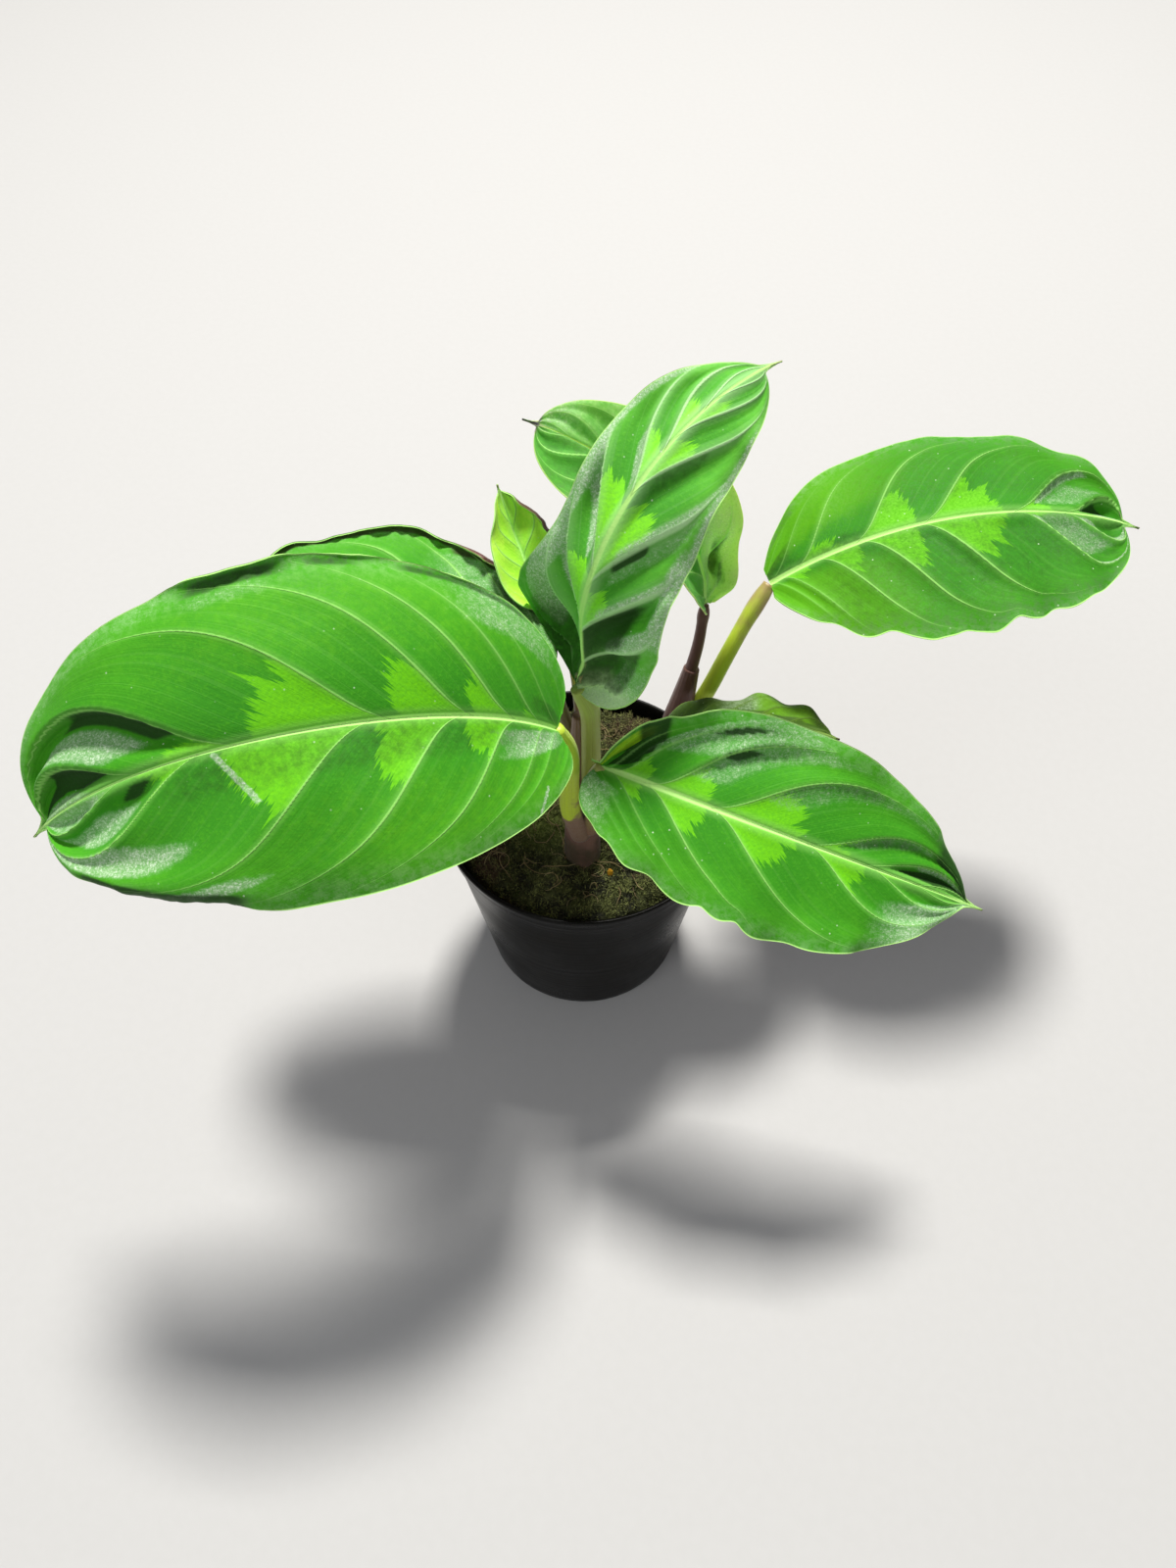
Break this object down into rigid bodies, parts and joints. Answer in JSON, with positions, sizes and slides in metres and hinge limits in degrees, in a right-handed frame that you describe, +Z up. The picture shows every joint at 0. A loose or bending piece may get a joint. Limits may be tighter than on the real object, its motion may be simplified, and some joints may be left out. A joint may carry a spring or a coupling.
{
  "type": "potted prayer plant",
  "caption": "Small potted prayer plant with broad velvety leaves on arching stalks, rooted in mossy soil in a thin round nursery pot.",
  "frame": {"origin": "middle of the pot's flat base, on the surface it stands on", "axes": "+Z up, +X to the viewer's right, +Y away from the viewer"},
  "size_m": [0.3426, 0.1984, 0.2481],
  "materials": {
    "leaf_blade": "velvety dark green leaf with light feather marks along the midrib, dull red underside",
    "young_leaf": "bright yellow-green young leaf",
    "leaf_stalk": "smooth yellow-green stalk, browner towards the ground",
    "shoot_sheath": "satin mauve-brown leaf sheath",
    "moss": "dull green-brown moss",
    "potting_soil": "dark crumbly potting soil",
    "pot_plastic": "thin glossy charcoal plastic"
  },
  "bodies": {
    "root": {"pot": "pot_plastic", "soil": "potting_soil", "moss": "moss", "shoot_front": "shoot_sheath", "shoot_rear": "shoot_sheath", "stalk_front_left": "leaf_stalk", "stalk_mid_left": "leaf_stalk", "stalk_young_back_left": "leaf_stalk", "stalk_tall_centre": "leaf_stalk", "stalk_front_right": "leaf_stalk", "stalk_back_centre": "leaf_stalk", "stalk_right": "leaf_stalk", "stalk_low_right": "leaf_stalk", "leaf_front_left": "leaf_blade", "leaf_mid_left": "leaf_blade", "leaf_young_back_left": "young_leaf", "leaf_tall_centre": "leaf_blade", "leaf_front_right": "leaf_blade", "leaf_back_centre": "leaf_blade", "leaf_right": "leaf_blade", "leaf_low_right": "leaf_blade"}
  },
  "joints": []
}
